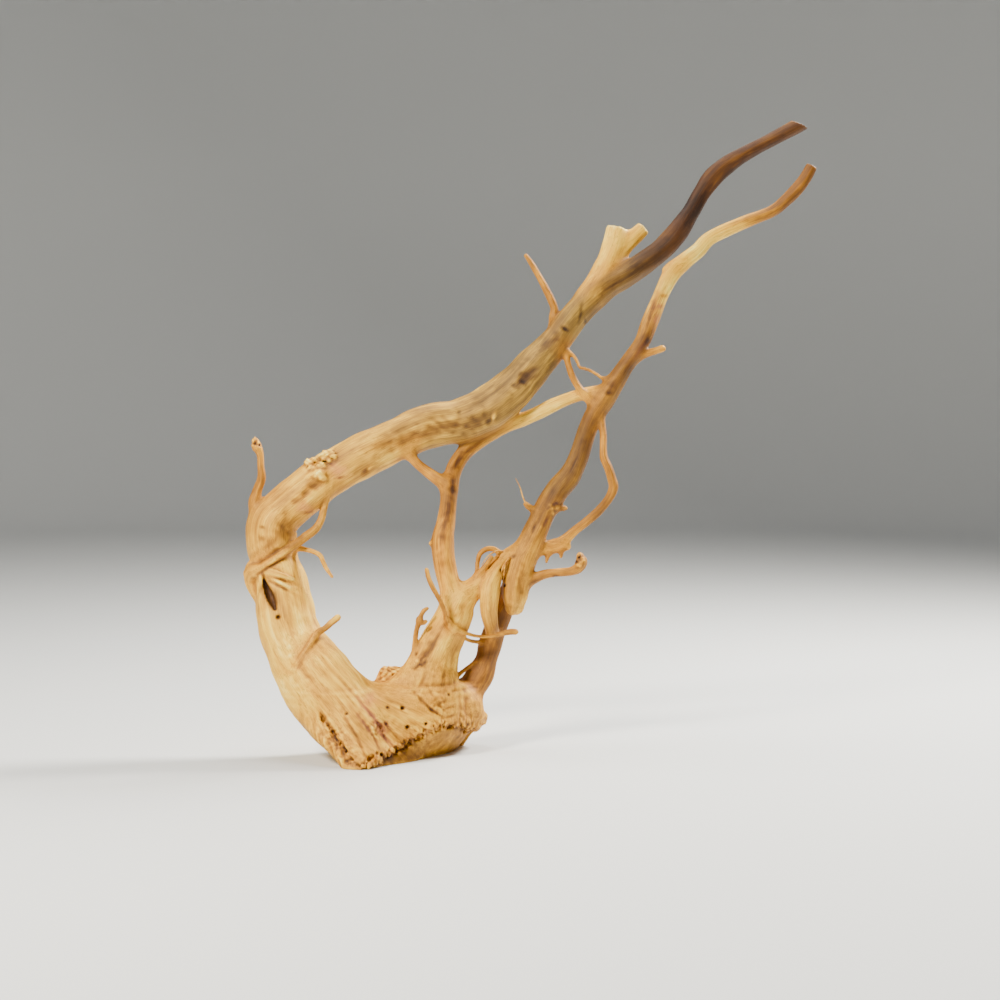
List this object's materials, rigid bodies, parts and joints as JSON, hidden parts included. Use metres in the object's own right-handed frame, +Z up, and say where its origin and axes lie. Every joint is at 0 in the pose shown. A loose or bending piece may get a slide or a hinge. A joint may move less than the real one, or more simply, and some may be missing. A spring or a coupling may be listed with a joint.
{
  "type": "piece of mopani driftwood",
  "caption": "Branching piece of pale aquarium driftwood: a root crown on its sawn foot, a limb that arches up to the right, a second long branch, arms and twigs.",
  "frame": {"origin": "middle of the flat sawn foot that the wood stands on", "axes": "+X to the right as in the picture, where the branch tips point, +Y away from the viewer, +Z up"},
  "size_m": [0.4804, 0.1722, 0.5315],
  "materials": {
    "bare_wood": "matt, water-worn"
  },
  "bodies": {
    "root": {"driftwood": "bare_wood"}
  },
  "joints": []
}
